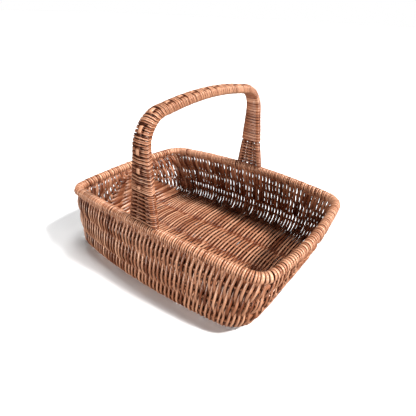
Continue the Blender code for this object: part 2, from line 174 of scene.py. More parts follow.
class BasketColours(bpy.types.PropertyGroup):
    """Colours of the willow and of the stage."""

    # The painted light on the floor's top rods and on the handle's top lifts them towards Pale
    pale: tint("Pale", "Worn and sunlit willow", (0.62, 0.316, 0.188))
    middle: tint("Middle", "Common tone of the willow", (0.25, 0.072, 0.026))
    # Deep is also the colour of the painted shade on hidden rods, rods' sides, the listing's holes and the
    # bare rods
    deep: tint("Deep", "Darker rods and stains", (0.072, 0.0135, 0.0045))
    floor: tint("Floor", "Floor under the basket", (0.95, 0.95, 0.95))


def share_between(value, start, full):
    """0 up to the start and 1 from the full value on, with a straight run between them."""
    return np.clip((value - start) / (full - start), 0.0, 1.0)


def eased(share):
    """A share that sets off and arrives gently."""
    return share * share * (3 - 2 * share)


def soft_band(distance, reach):
    """1 at a line, and close to 0 beyond the reach from it."""
    return np.exp(-((distance / reach) ** 4))


def outline_radius(angles, half_length, half_width, corner, end_bow, side_bow):
    """Distance from the middle to a bowed rectangle with round corners, at each angle."""
    a = half_length - end_bow
    b = half_width - side_bow
    few, many = 40, 60
    up = np.linspace(0.0, b - corner, few)
    turn = np.linspace(0.0, math.pi / 2, few)
    back = np.linspace(a - corner, 0.0, many)
    x = np.concatenate([np.full(few, a), a - corner + corner * np.cos(turn), back])
    y = np.concatenate([up, b - corner + corner * np.sin(turn), np.full(many, b)])
    bowed_x = x * (1 + end_bow / a * (1 - (y / b) ** 2))
    bowed_y = y * (1 + side_bow / b * (1 - (x / a) ** 2))
    known = np.arctan2(bowed_y, bowed_x)
    wanted = np.arctan2(np.abs(np.sin(angles)), np.abs(np.cos(angles)))
    return np.interp(wanted, known, np.hypot(bowed_x, bowed_y))


def wall_radius(angles, height):
    """Distance from the middle to the tray's wall, at an angle and a height."""
    rim = outline_radius(
        angles, RIM_HALF_LENGTH, RIM_HALF_WIDTH, RIM_CORNER_RADIUS, RIM_END_BOW, RIM_SIDE_BOW
    )
    floor = outline_radius(
        angles, FLOOR_HALF_LENGTH, FLOOR_HALF_WIDTH, FLOOR_CORNER_RADIUS, -FLOOR_END_HOLLOW, FLOOR_SIDE_BOW
    )
    share = (RIM_HEIGHT - height) / (RIM_HEIGHT - FLOOR_MIDDLE)
    above = np.clip(height - FLOOR_MIDDLE, 0.0, FLOOR_EDGE_RADIUS)
    rounding = FLOOR_EDGE_RADIUS - np.sqrt(FLOOR_EDGE_RADIUS**2 - (FLOOR_EDGE_RADIUS - above) ** 2)
    belly = WALL_BELLY * np.sin(math.pi * np.clip(share, 0.0, 1.0))
    return rim + (floor - rim) * share + belly - rounding


def wall_point(angles, height):
    """Points on the tray's wall, at angles and heights."""
    radius = wall_radius(angles, height)
    return np.stack([radius * np.cos(angles), radius * np.sin(angles), height + 0 * angles], -1)


def wall_directions(angles, height):
    """Outward directions on the wall, from its slope along and up."""
    turn_step, rise_step = 0.004, 0.001
    turn = wall_point(angles + turn_step, height) - wall_point(angles - turn_step, height)
    rise = wall_point(angles, height + rise_step) - wall_point(angles, height - rise_step)
    return unit(np.cross(turn, rise))


def unit(ways):
    """Directions of length 1."""
    return ways / np.maximum(np.linalg.norm(ways, axis=-1, keepdims=True), 1e-12)


def along(points):
    """Length from the first point to each point of a line."""
    steps = np.linalg.norm(np.diff(points, axis=0), axis=1)
    return np.concatenate([[0.0], np.cumsum(steps)])


def at_length(points, lengths):
    """Points at lengths along a line."""
    return interpolate(lengths, along(points), points)


def interpolate(wanted, known, rows):
    """Rows of three values, read between the known places."""
    return np.stack([np.interp(wanted, known, rows[:, k]) for k in range(3)], -1)


def sag(points):
    """Lowers the rim's ends, as the frame does."""
    lowered = np.array(points, float)
    lift = share_between(lowered[:, 2], 0.0, RIM_HEIGHT)
    lowered[:, 2] -= RIM_END_DROP * (lowered[:, 0] / RIM_HALF_LENGTH) ** 2 * lift
    return lowered


class Tray:
    """The basket's middle surface, as a grid of strand places and shares along each strand."""

    def __init__(self):
        heights = FLOOR_MIDDLE + (WALL_TOP - FLOOR_MIDDLE) * np.linspace(0.0, 1.0, LINE_STEPS) ** 2
        end = wall_point(0 * heights, heights)
        self.middle_line = np.concatenate([[[0.0, 0.0, FLOOR_MIDDLE]], end])
        angles = np.linspace(math.pi / 2, 0.0, LINE_STEPS)
        self.top_line = wall_point(angles, np.full(LINE_STEPS, WALL_TOP))
        self.top_span = along(self.top_line)[-1] - END_WEAVE_HALF_SPAN
        self.middle_span = along(self.middle_line)[-1] - END_WEAVE_DEPTH
        self.places = np.linspace(0.0, 1.0, PLACE_STEPS)
        self.shares = np.linspace(0.0, 1.0, SHARE_STEPS)
        self.points = np.stack([self.half_strand(place) for place in self.places])
        self.lengths = np.array([along(line)[-1] for line in self.points])
        self.measure_slopes()
        self.measure_end()
        self.ribs = self.rib_shares()

    def measure_slopes(self):
        """Outward directions over the grid, and how far apart the strands run there."""
        down = np.gradient(self.points, axis=1)
        aside = np.gradient(self.points, axis=0)
        normals = unit(np.cross(down, aside))
        away = np.sum((self.points - RIM_HEIGHT * UP) * normals, axis=-1, keepdims=True)
        self.normals = np.where(away < 0, -normals, normals)
        spread = np.linalg.norm(aside, axis=-1, keepdims=True) * (len(self.places) - 1)
        self.spacing = spread / self.top_span

    def measure_end(self):
        """The seam's line, and how the end's size spreads evenly down its middle."""
        seam = self.points[-1]
        self.seam_angles = np.arctan2(seam[:, 1], seam[:, 0])
        self.seam_heights = seam[:, 2]
        heights = np.linspace(WALL_TOP, self.seam_heights[0], END_STEPS)
        self.end_depths = (WALL_TOP - heights) / (WALL_TOP - heights[-1])
        lengths = along(wall_point(0 * heights, heights))
        self.end_sizes = lengths / lengths[-1]

    def half_strand(self, place):
        """One crosswise weaver's middle line, from the tray's middle line to the back rim."""
        top = at_length(self.top_line, [self.top_span * place])[0]
        reach = self.top_span * place + (self.middle_span - self.top_span) * place**2
        middle = at_length(self.middle_line, [reach])[0]
        centre = np.array([top[0], 0.0, top[2]])
        down = unit(middle - centre)
        turn = np.linspace(0.0, math.pi / 2, STRAND_STEPS)[:, None]
        ways = np.cos(turn) * down + np.sin(turn) * np.array([0.0, 1.0, 0.0])
        beyond_wall, halvings = 0.4, 34
        low = np.zeros(len(turn))
        high = np.full(len(turn), beyond_wall)
        for _ in range(halvings):
            half = (low + high) / 2
            spot = centre + ways * half[:, None]
            radius = wall_radius(np.arctan2(spot[:, 1], spot[:, 0]), spot[:, 2])
            within = (spot[:, 2] > FLOOR_MIDDLE) & (np.hypot(spot[:, 0], spot[:, 1]) < radius)
            low = np.where(within, half, low)
            high = np.where(within, high, half)
        points = centre + ways * low[:, None]
        points[0] = middle
        points[-1] = top
        return at_length(points, self.shares * along(points)[-1])

    def read(self, grid, places, shares):
        """Bilinear reading of a grid at absolute places and shares."""
        row = np.clip(np.abs(places), 0, 1) * (len(self.places) - 1)
        column = np.clip(np.abs(shares), 0, 1) * (len(self.shares) - 1)
        i = np.minimum(row.astype(int), len(self.places) - 2)
        j = np.minimum(column.astype(int), len(self.shares) - 2)
        a = (row - i)[:, None]
        b = (column - j)[:, None]
        near = grid[i, j] * (1 - b) + grid[i, j + 1] * b
        far = grid[i + 1, j] * (1 - b) + grid[i + 1, j + 1] * b
        return near * (1 - a) + far * a

    def at(self, places, shares):
        """Points and outward directions at signed places and shares."""
        end = np.where(places < 0, -1.0, 1.0)
        side = np.where(shares < 0, -1.0, 1.0)
        flip = np.stack([end, side, 0 * end + 1], -1)
        points = self.read(self.points, places, shares) * flip
        return points, unit(self.read(self.normals, places, shares)) * flip

    def rib_shares(self):
        """Shares, from the middle to the rim, at which every strand crosses the ribs of one side."""
        middle = self.points[0]
        lengths = along(middle)
        wall = np.interp(WALL_RIB_HEIGHTS, middle[:, 2], lengths)
        return np.array([FLOOR_RIB_PITCH / 2, FLOOR_RIB_PITCH * 3 / 2, *wall]) / lengths[-1]

    def end_at(self, sizes, shares):
        """Points and outward directions on the right end. Size is 1 at the seam and 0 at the rim."""
        ways = np.abs(shares)
        angles = np.interp(ways, self.shares, self.seam_angles)
        depths = WALL_TOP - np.interp(ways, self.shares, self.seam_heights)
        square = share_between(sizes, 1.0, SQUARE_FROM) * U_SQUARENESS
        deepest = WALL_TOP - self.seam_heights[0]
        depths = depths + square * (depths * (deepest - depths) / deepest)
        even = np.interp(sizes, self.end_sizes, self.end_depths)
        reach = sizes + (even - sizes) * (depths / deepest) ** 2
        angles = angles * sizes * np.where(shares < 0, -1.0, 1.0)
        heights = WALL_TOP - depths * reach
        return wall_point(angles, heights), wall_directions(angles, heights)


class RodMesh:
    """Gathers swept rods and makes one mesh of them, with lengthwise UVs and a tone, darkened by painted
    shade, for each rod.
    """

    def __init__(self):
        self.points, self.faces, self.ends = [], [], []
        self.uvs, self.end_uvs, self.tones_and_shade = [], [], []
        self.count = 0

    def sweep(
        self, points, normals, width, thickness, tone, sides=ROD_SIDES, closed=False, turn=0.0, shade=0.0
    ):
        """Adds a rod of oval section. Width lies across the normal, thickness along it, shade is painted
        shade that darkens its tone.
        """
        count = len(points)
        if closed:
            ways = unit(np.roll(points, -1, 0) - np.roll(points, 1, 0))
        else:
            ways = unit(np.gradient(points, axis=0))
        normals = unit(normals - np.sum(normals * ways, axis=1, keepdims=True) * ways)
        across = np.cross(ways, normals)
        width = np.broadcast_to(width, (count,))[:, None, None] / 2
        thickness = np.broadcast_to(thickness, (count,))[:, None, None] / 2
        angle = turn + 2 * math.pi * np.arange(sides) / sides
        ring = np.cos(angle)[None, :, None] * thickness * normals[:, None]
        ring = ring + np.sin(angle)[None, :, None] * width * across[:, None]
        self.points.append((points[:, None] + ring).reshape(-1, 3))
        rows = np.arange(count if closed else count - 1)
        uv_start = UV_SHIFT * tone
        self.add_sides(rows, count, sides)
        self.add_uvs(rows, along(points), sides, uv_start, turn)
        if not closed:
            first = np.arange(sides) + self.count
            self.ends.append(first)
            self.ends.append(first[::-1] + (count - 1) * sides)
            self.end_uvs.append(np.full((2 * sides, 2), [uv_start, 0.5]))
        self.tones_and_shade.append(np.repeat(np.broadcast_to(np.clip(tone - shade, 0.0, 1.0), (count,)), sides))
        self.count += count * sides

    def add_sides(self, rows, count, sides):
        """Four-cornered faces between each ring of points and the next."""
        i, j = np.meshgrid(rows, np.arange(sides), indexing="ij")
        here, after = i * sides, (i + 1) % count * sides
        beside = (j + 1) % sides
        quads = np.stack([here + j, after + j, after + beside, here + beside], -1)
        self.faces.append(quads.reshape(-1, 4) + self.count)

    def add_uvs(self, rows, lengths, sides, start, turn):
        """U runs along the rod in metres, V once round it. A closed turn has one step more."""
        last_step = 0.002
        lengths = np.append(lengths, lengths[-1] + last_step)
        here, after = lengths[rows] + start, lengths[rows + 1] + start
        low = np.arange(sides) / sides + turn / (2 * math.pi)
        high = low + 1 / sides
        u = np.stack([here, after, after, here], -1)[:, None]
        v = np.stack([low, low, high, high], -1)[None]
        self.uvs.append(np.stack(np.broadcast_arrays(u, v), -1).reshape(-1, 2))

    def build(self, name):
        """One mesh of all the rods, with smooth sides and flat cut ends."""
        quads = np.concatenate(self.faces).tolist()
        ends = [end.tolist() for end in self.ends]
        mesh = bpy.data.meshes.new(name)
        mesh.from_pydata(sag(np.concatenate(self.points)).tolist(), [], quads + ends)
        mesh.polygons.foreach_set("use_smooth", [True] * len(quads) + [False] * len(ends))
        uvs = np.concatenate([*self.uvs, *self.end_uvs]).astype(np.float32)
        mesh.uv_layers.new(name="rod").data.foreach_set("uv", uvs.reshape(-1))
        tone = mesh.attributes.new("rod_tone_and_shade", "FLOAT", "POINT")
        tone.data.foreach_set("value", np.concatenate(self.tones_and_shade).astype(np.float32))
        return mesh

    def make(self, name, material, nodes, slot="buff_willow_weave"):
        """Makes the object that stands for the named nodes."""
        mesh = self.build(name)
        mesh.materials.append(material)
        mesh.validate()
        thing = bpy.data.objects.new(name, mesh)
        bpy.context.scene.collection.objects.link(thing)
        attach(thing, "root")
        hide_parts(*nodes)


def alternate(shares, crossings, heights, lean):
    """Offsets that swing smoothly between the heights at the crossings. Lean over 1 swings later."""
    index = np.clip(np.searchsorted(crossings, shares, side="right") - 1, 0, len(crossings) - 2)
    low = crossings[index]
    part = share_between(shares, low, crossings[index + 1])
    ease = (1 - np.cos(math.pi * part ** lean[index])) / 2
    return heights[index] * (1 - ease) + heights[index + 1] * ease


def fill(tree, node, inputs):
    """Sets a node's inputs. Each is a number, a colour or another node's output."""
    for name, value in inputs.items():
        if isinstance(value, bpy.types.NodeSocket):
            tree.links.new(value, node.inputs[name])
        else:
            node.inputs[name].default_value = value


def add_node(tree, kind, inputs):
    """A new node with its inputs set."""
    node = tree.nodes.new(kind)
    fill(tree, node, inputs)
    return node


def add_maths(tree, operation, *values):
    """The result of a sum, product or the like of numbers or outputs."""
    node = add_node(tree, "ShaderNodeMath", dict(enumerate(values)))
    node.operation = operation
    return node.outputs[0]


def add_noise(tree, place, detail, stretch):
    """Noise that is finer where the stretch of the place is greater."""
    shift = tree.nodes.new("ShaderNodeVectorMath")
    shift.operation = "MULTIPLY"
    fill(tree, shift, {0: place, 1: stretch})
    inputs = {"Vector": shift.outputs[0], "Scale": 1.0, "Detail": detail}
    return add_node(tree, "ShaderNodeTexNoise", inputs).outputs["Fac"]


def add_mix(tree, share, first, second):
    """The colour that lies between two colours."""
    node = tree.nodes.new("ShaderNodeMix")
    node.data_type = "RGBA"
    fill(tree, node, {"Factor": share, "A": first, "B": second})
    return node.outputs["Result"]


def add_ramp(tree, value, start, finish, low=0.0, high=1.0):
    """Runs from low to high while the value runs from start to finish."""
    inputs = {"Value": value, "From Min": start, "From Max": finish, "To Min": low, "To Max": high}
    return add_node(tree, "ShaderNodeMapRange", inputs).outputs["Result"]


def willow_group():
    """Streaks, blotches and fibres of peeled willow along a rod, with painted shade from its tone and on
    its sides.
    """
    found = bpy.data.node_groups.get("willow_surface")
    if found:
        return found
    tree = bpy.data.node_groups.new("willow_surface", "ShaderNodeTree")
    sockets = (
        ("INPUT", "NodeSocketVector", ("Place",)),
        ("INPUT", "NodeSocketFloat", ("Tone and shade", "Stain", "Side shade")),
        ("INPUT", "NodeSocketColor", ("Pale", "Middle", "Deep")),
        ("OUTPUT", "NodeSocketColor", ("Colour",)),
        ("OUTPUT", "NodeSocketFloat", ("Roughness", "Height")),
    )
    for way, kind, names in sockets:
        for name in names:
            tree.interface.new_socket(name, in_out=way, socket_type=kind)
    given = tree.nodes.new("NodeGroupInput").outputs
    place = given["Place"]
    blotch = add_noise(tree, place, 3.0, (38.0, 1.4, 1.0))
    streak = add_noise(tree, place, 2.0, (90.0, 7.0, 1.0))
    fibre = add_noise(tree, place, 2.0, (260.0, 26.0, 1.0))
    # Each layer follows a value from its start to where it is full, at a strength, in a colour
    layers = (
        (streak, 0.52, 0.74, 0.55, "Pale"),
        # Low tones darken towards Deep; the tone holds each rod's own tone and the painted shade laid on
        # it
        (given["Tone and shade"], 0.4, 0.0, 0.9, "Deep"),
        (blotch, 0.50, 0.72, given["Stain"], "Deep"),
        (fibre, 0.55, 0.75, 0.28, "Deep"),
        # Painted shade: darkens a rod's sides, where it meets its neighbours
        (rod_face(tree, place), 0.8, 0.1, given["Side shade"], "Deep"),
    )
    colour = add_mix(tree, add_ramp(tree, given["Tone and shade"], 0.25, 1.0), given["Middle"], given["Pale"])
    for value, start, full, strength, name in layers:
        share = add_maths(tree, "MULTIPLY", add_ramp(tree, value, start, full), strength)
        colour = add_mix(tree, share, colour, given[name])
    fine = add_maths(tree, "MULTIPLY", fibre, 0.5)
    coarse = add_maths(tree, "MULTIPLY", streak, 0.6)
    height = add_node(tree, "ShaderNodeMath", {0: fine, 1: coarse})
    height.use_clamp = True
    roughness = add_ramp(tree, streak, 0.0, 1.0, 0.24, 0.44)
    outputs = {"Colour": colour, "Roughness": roughness, "Height": height.outputs[0]}
    fill(tree, tree.nodes.new("NodeGroupOutput"), outputs)
    return tree


def rod_face(tree, place):
    """1 on a rod's outer and inner face and 0 on its sides, from the UV round the rod."""
    parts = add_node(tree, "ShaderNodeSeparateXYZ", {0: place})
    turn = add_maths(tree, "MULTIPLY", parts.outputs["Y"], 2 * math.pi)
    return add_maths(tree, "ABSOLUTE", add_maths(tree, "COSINE", turn))


def willow_material(name, stain, bump, side_shade=0.0, along_rod=True, tone=0.5):
    """A willow finish. It follows the rod's own UVs, or the object's place on a bare frame rod."""
    found = bpy.data.materials.get(name)
    if found:
        return found
    colours = bpy.context.scene.basket_colours
    material = bpy.data.materials.new(name)
    material.use_nodes = True
    tree = material.node_tree
    if along_rod:
        place = tree.nodes.new("ShaderNodeUVMap")
        place.uv_map = "rod"
        rod_tone_and_shade = tree.nodes.new("ShaderNodeAttribute")
        rod_tone_and_shade.attribute_name = "rod_tone_and_shade"
        inputs = {"Place": place.outputs["UV"], "Tone and shade": rod_tone_and_shade.outputs["Fac"]}
    else:
        place = tree.nodes.new("ShaderNodeTexCoord")
        inputs = {"Place": place.outputs["Object"], "Tone and shade": tone}
    inputs["Pale"] = (*colours.pale, 1.0)
    inputs["Middle"] = (*colours.middle, 1.0)
    inputs["Deep"] = (*colours.deep, 1.0)
    inputs["Stain"] = stain
    inputs["Side shade"] = side_shade
    surface = tree.nodes.new("ShaderNodeGroup")
    surface.node_tree = willow_group()
    fill(tree, surface, inputs)
    relief = {"Distance": bump, "Strength": 0.6, "Height": surface.outputs["Height"]}
    fill(tree, tree.nodes["Principled BSDF"], {
        "Base Color": surface.outputs["Colour"],
        "Roughness": surface.outputs["Roughness"],
        "Normal": add_node(tree, "ShaderNodeBump", relief).outputs["Normal"],
        "Specular IOR Level": 0.65,
        "Specular Tint": WARM_SHINE,
    })
    return material


def weaver_material():
    return willow_material("willow_weavers", stain=0.5, bump=0.0004, side_shade=0.55)


def skein_material():
    return willow_material("willow_skein", stain=0.35, bump=0.0003, side_shade=0.65)


def weave_swing(sizes):
    """How far a rod lies from the middle surface where it passes a rib."""
    pressed_radius = 0.42 * sizes.weaver_diameter
    return RIB_RADIUS + pressed_radius


def weave_offsets(shares, parity, random, sizes):
    """Distances from the middle surface: a rod passes inside one rib and outside the next."""
    past_rim, unevenness, swing_at_rim = 1.03, 0.003, 0.4
    crossings = np.concatenate([[-past_rim], -TRAY.ribs[::-1], TRAY.ribs, [past_rim]])
    crossings[1:-1] += random.normal(0.0, unevenness, len(crossings) - 2)
    lean = np.ones(len(crossings) - 1)
    lean[[EDGE_GAP, -1 - EDGE_GAP]] = (1 / EDGE_LEAN, EDGE_LEAN)
    signs = np.where((np.arange(len(crossings)) + parity) % 2 == 0, 1.0, -1.0)
    heights = signs * weave_swing(sizes) * random.uniform(0.88, 1.03, len(crossings))
    heights[[0, -1]] *= swing_at_rim
    return alternate(shares, crossings, heights, lean)


def wandering(random, steps):
    """A slow sideways wander along a rod."""
    count = 11
    knots = random.normal(0.0, WANDER, count)
    return np.interp(np.linspace(0, 1, steps), np.linspace(0, 1, count), knots)


def hidden_side(offset, on_floor, sizes):
    """1 where a rod lies inside a wall or under the floor, 0 on the side that is handled."""
    radius = sizes.weaver_diameter / 2
    outside = share_between(offset, -radius, radius)
    return outside * on_floor + (1 - outside) * (1 - on_floor)


def rod_widths(offset, on_floor, sizes):
    """A rod is narrow where neighbours pass each other, and spreads out where it has room."""
    distance = np.abs(offset)
    room = share_between(distance, 0.0, sizes.weaver_diameter / 2)
    pressed = share_between(distance / weave_swing(sizes), 0.6, 1.0)
    shown = sizes.shown_width + (sizes.floor_width - sizes.shown_width) * on_floor
    spread = sizes.spread_width * (1 + 0.22 * pressed)
    free = shown + (spread - shown) * hidden_side(offset, on_floor, sizes)
    narrow = sizes.wall_pitch * 1.04
    return narrow + (free - narrow) * room


def lay_rod(rods, points, normals, offset, widths, on_floor, random, sizes):
    """Lays one weaver along a line on the tray and leads its ends in under the rim's turns, with painted
    shade on its hidden side and painted light on top of the floor.
    """
    end_rise, end_offset = 0.0045, 0.9
    points = points + normals * offset[:, None]
    ends = [points[k] + end_rise * UP - normals[k] * offset[k] * (1 - end_offset) for k in (0, -1)]
    points = np.concatenate([ends[:1], points, ends[1:]])
    size = random.uniform(0.92, 1.06)
    # Painted shade darkens the rod where it lies inside a wall or under the floor, most under the floor;
    # painted light lightens the floor's top rods
    painted_hidden_shade = 0.2 + 0.8 * on_floor
    painted_floor_light = 0.12 * on_floor
    shade = painted_hidden_shade * hidden_side(offset, on_floor, sizes) - painted_floor_light
    normals, shade, widths = (
        np.concatenate([rows[:1], rows, rows[-1:]]) for rows in (normals, shade, widths)
    )
    taper = 1 + random.uniform(-0.07, 0.07) * np.linspace(-1, 1, len(points))
    width = widths * size * taper
    thickness = np.minimum(width, sizes.weaver_diameter * size)
    rods.sweep(points, normals, width, thickness, tone_of(random), shade=shade)


def crosswise_rod(rods, place, parity, random, sizes):
    """One weaver from the front rim over the floor to the back rim."""
    step = 0.0036
    steps = int(2 * np.interp(abs(place), TRAY.places, TRAY.lengths) / step)
    shares = np.linspace(-ROD_REACH, ROD_REACH, steps)
    shift = wandering(random, steps)
    middle, high, top = TRAY.ribs[-3], TRAY.ribs[-2], TRAY.ribs[-1]
    for start, finish, run in ((high, top, 1.0), (middle, high, 0.6)):
        shift = shift - sizes.top_slant * run * eased(share_between(np.abs(shares), start, finish))
    places = np.clip(place + shift / TRAY.top_span, -1.0, 1.0)
    points, normals = TRAY.at(places, shares)
    offset = weave_offsets(shares, parity, random, sizes)
    on_floor = share_between(np.abs(shares), FLOOR_SHARE + FLOOR_BLEND, FLOOR_SHARE - FLOOR_BLEND)
    spacing = TRAY.read(TRAY.spacing, places, shares)[:, 0]
    crowding = np.clip(1.25 * spacing - 0.25, 0.48, 1.04)
    widths = rod_widths(offset, on_floor, sizes) * crowding
    lay_rod(rods, points, normals, offset, widths, on_floor, random, sizes)


def tone_of(random):
    """Mostly middling rods, some pale and a few dark."""
    return float(np.clip(random.normal(0.5, 0.24), 0.0, 1.0))


def pair_lean(number, span, sizes):
    """Rods lean towards their partner in a pair, as a share of the span they are spread over."""
    lean = sizes.pair_gap / 2 / span
    return lean if number % 2 == 0 else -lean


def make_crosswise_rods(sizes):
    """The rods of the front wall, the floor and the back wall, in a left and a right half."""
    outermost, unevenness = 0.997, 0.0010
    random = np.random.default_rng(SEED)
    count = int(round(2 * TRAY.top_span / sizes.wall_pitch))
    halves = {"left": RodMesh(), "right": RodMesh()}
    for number, place in enumerate(np.linspace(-outermost, outermost, count)):
        half = halves["left" if place < 0 else "right"]
        place = place + pair_lean(number, TRAY.top_span, sizes) + random.normal(0.0, unevenness)
        crosswise_rod(half, place, number % 2, random, sizes)
    for word, rods in halves.items():
        nodes = ["crosswise_weave_outer", "crosswise_weave_inner"]
        rods.make(f"crosswise_weavers_{word}", weaver_material(), nodes)


def end_rod(rods, size, parity, mirror, random, sizes):
    """One weaver that hangs in a U from an end rim. Small Us swing less round the ribs."""
    step, small, least_swing = 0.0034, 0.35, 0.45
    steps = max(int(2 * TRAY.lengths[-1] * size / step), 9)
    shares = np.linspace(-ROD_REACH, ROD_REACH, steps)
    wander = wandering(random, steps) / END_WEAVE_DEPTH
    points, normals = TRAY.end_at(np.clip(size + wander, 0.01, 1.0), shares)
    offset = weave_offsets(shares, parity, random, sizes) * np.clip(size / small, least_swing, 1.0)
    flip = np.array([mirror, 1.0, 1.0])
    widths = rod_widths(offset, 0.0, sizes) * 1.1
    lay_rod(rods, points * flip, normals * flip, offset, widths, 0.0, random, sizes)


def make_end_rods(sizes):
    """The rods that hang from the two end rims, from the seam up to the smallest U."""
    first_inset, smallest = 0.7, 0.02
    for word, mirror, seed in (("right", 1.0, SEED + 3), ("left", -1.0, SEED + 4)):
        random = np.random.default_rng(seed)
        rods = RodMesh()
        count = int(END_WEAVE_HALF_SPAN / sizes.end_pitch)
        for number in range(count):
            size = 1.0 - (number + first_inset) / count
            size = max(size + pair_lean(number, END_WEAVE_HALF_SPAN, sizes), smallest)
            end_rod(rods, size, number % 2, mirror, random, sizes)
        nodes = [f"{word}_end_weave_outer", f"{word}_end_weave_inner"]
        rods.make(f"end_weavers_{word}", weaver_material(), nodes)


def rim_place(angle):
    """The point, the way along and the outward direction on the hoop's centre line."""
    step = 0.002
    angles = np.array([angle - step, angle, angle + step])
    before, point, after = wall_point(angles, np.full(3, RIM_HEIGHT))
    way = unit(after - before)
    return point, way, np.cross(way, UP)


def rim_turn(rods, angle, width, thickness, reach, slant, tone):
    """One turn of willow round the hoop, a little slanted."""
    steps = 14
    point, way, normal = rim_place(angle)
    turn = 2 * math.pi * np.arange(steps) / steps
    radial = np.cos(turn)[:, None] * normal + np.sin(turn)[:, None] * UP
    lean = np.sin(turn)[:, None] * way * slant
    spots = point + radial * reach + lean
    rods.sweep(spots, radial, width, thickness, tone, TURN_SIDES, closed=True, turn=math.pi / TURN_SIDES)


def lay_rim_turns(rods, start, finish, random, sizes):
    """Turns between two angles, in bunches with narrow dark gaps between them.

    Every second turn is darker and has a fine gap behind it. The ends have wider, flatter turns.
    """
    fine = np.linspace(start, finish, RIM_STEPS)
    lengths = along(wall_point(fine, np.full(RIM_STEPS, RIM_HEIGHT)))
    place = sizes.rim_pitch / 2
    left_in_bunch = int(random.integers(5, 10))
    second = False
    while place < lengths[-1] - sizes.rim_pitch / 3:
        angle = float(np.interp(place, lengths, fine))
        at_end = abs(math.cos(angle)) * RIM_HALF_WIDTH > abs(math.sin(angle)) * RIM_HALF_LENGTH
        spread, usual_thickness = (1.5, 0.0024) if at_end else (1.0, 0.0027)
        usual_tone, gap = (0.55, 0.0004) if second else (0.82, 0.0)
        width = sizes.rim_pitch * spread * random.uniform(0.93, 1.08)
        thickness = usual_thickness * random.uniform(0.85, 1.12)
        reach = HOOP_RADIUS + SEAT_GAP + thickness / 2 + random.uniform(-0.0001, 0.0003)
        slant = 0.0011 + random.normal(0.0, 0.0003)
        tone = float(np.clip(random.normal(usual_tone, 0.16), 0.0, 1.0))
        rim_turn(rods, angle, width, thickness, reach, slant, tone)
        second = not second
        left_in_bunch -= 1
        if left_in_bunch <= 0:
            gap = random.uniform(0.0004, 0.0011)
            left_in_bunch = int(random.integers(4, 11))
        place += width + gap


def make_rim_turns(sizes):
    """The turns of the four stretches of the hoop: two sides and the handle's two feet."""
    random = np.random.default_rng(SEED + 7)
    foot = math.atan2(HANDLE_HALF_WIDTHS[0], RIM_HALF_WIDTH)
    quarter = math.pi / 2
    stretches = (
        ("rim_turns_right", -quarter + foot, quarter - foot, "rim_wrap_right"),
        ("rim_turns_left", quarter + foot, 3 * quarter - foot, "rim_wrap_left"),
        ("foot_turns_back", quarter - foot, quarter + foot, "back_foot_binding"),
        ("foot_turns_front", -quarter - foot, -quarter + foot, "front_foot_binding"),
    )
    for name, start, finish, node in stretches:
        rods = RodMesh()
        lay_rim_turns(rods, start, finish, random, sizes)
        rods.make(name, skein_material(), [node], slot="buff_willow_skein")


class Bow:
    """The handle's middle line, with its half widths and heights above the rim."""

    def __init__(self):
        leg_top = HANDLE_HEIGHT - HANDLE_CORNER_RADIUS
        line = self.flat_line(leg_top)
        self.points = np.stack([0 * line[:, 0], line[:, 0], line[:, 1] + RIM_HEIGHT], -1)
        self.lengths = along(self.points)
        self.normals = np.cross(ASIDE, self.smooth_ways())
        heights = [0.0, FOOT_WEAVE_HEIGHT, (FOOT_WEAVE_HEIGHT + leg_top) / 2, leg_top, HANDLE_HEIGHT]
        self.half_widths = np.interp(line[:, 1], heights, HANDLE_HALF_WIDTHS)
        self.foot_end = float(np.interp(FOOT_WEAVE_HEIGHT, *self.leg()))

    def flat_line(self, leg_top):
        """Places along Y and heights above the rim: a leg, a corner, the crown and back down."""
        shoulder = RIM_HALF_WIDTH - HANDLE_LEAN
        corner_steps, crown_steps = 40, 50
        line = [
            (-RIM_HALF_WIDTH + HANDLE_LEAN * height / leg_top, height)
            for height in np.linspace(HANDLE_FOOT, leg_top, LEG_STEPS)
        ]
        for turn in np.radians(np.linspace(0, 90, corner_steps)[1:]):
            y = -shoulder + HANDLE_CORNER_RADIUS * (1 - math.cos(turn))
            line.append((y, leg_top + HANDLE_CORNER_RADIUS * math.sin(turn)))
        start = shoulder - HANDLE_CORNER_RADIUS
        for y in np.linspace(-start, 0.0, crown_steps)[1:]:
            line.append((y, HANDLE_HEIGHT + HANDLE_CROWN * (1 - (y / start) ** 2)))
        half = np.array(line)
        return np.concatenate([half, half[-2::-1] * [-1, 1]])

    def smooth_ways(self):
        """Directions along the bow, averaged over a few neighbours."""
        reach = 4
        kernel = np.ones(2 * reach + 1) / (2 * reach + 1)
        ways = unit(np.gradient(self.points, axis=0))
        padded = np.pad(ways, ((reach, reach), (0, 0)), mode="edge")
        return unit(np.stack([np.convolve(padded[:, k], kernel, "valid") for k in range(3)], -1))

    def leg(self):
        """Heights above the rim and lengths along the bow, up the first leg."""
        return self.points[:LEG_STEPS, 2] - RIM_HEIGHT, self.lengths[:LEG_STEPS]

    def at(self, lengths):
        """Points, outward directions and half widths at lengths along the bow."""
        points = interpolate(lengths, self.lengths, self.points)
        normals = unit(interpolate(lengths, self.lengths, self.normals))
        return points, normals, np.interp(lengths, self.lengths, self.half_widths)


def listing_shown(turn):
    """1 where the listing strip lies over the skein, 0 where it runs under."""
    phase = np.mod(turn, LISTING_PERIOD)
    rise = share_between(phase, 0.0, LISTING_RAMP)
    fall = share_between(phase, LISTING_SHOWN, LISTING_SHOWN - LISTING_RAMP)
    return eased(rise * fall)


def turn_angles():
    """Angles round one turn of the skein, closest together at the listing strip."""
    count, crowding = 17, 2.2
    away = math.pi * np.linspace(0.0, 1.0, count) ** crowding
    both = np.concatenate([math.pi / 2 + away, math.pi / 2 - away[1:-1]])
    return np.sort(np.mod(both, 2 * math.pi))


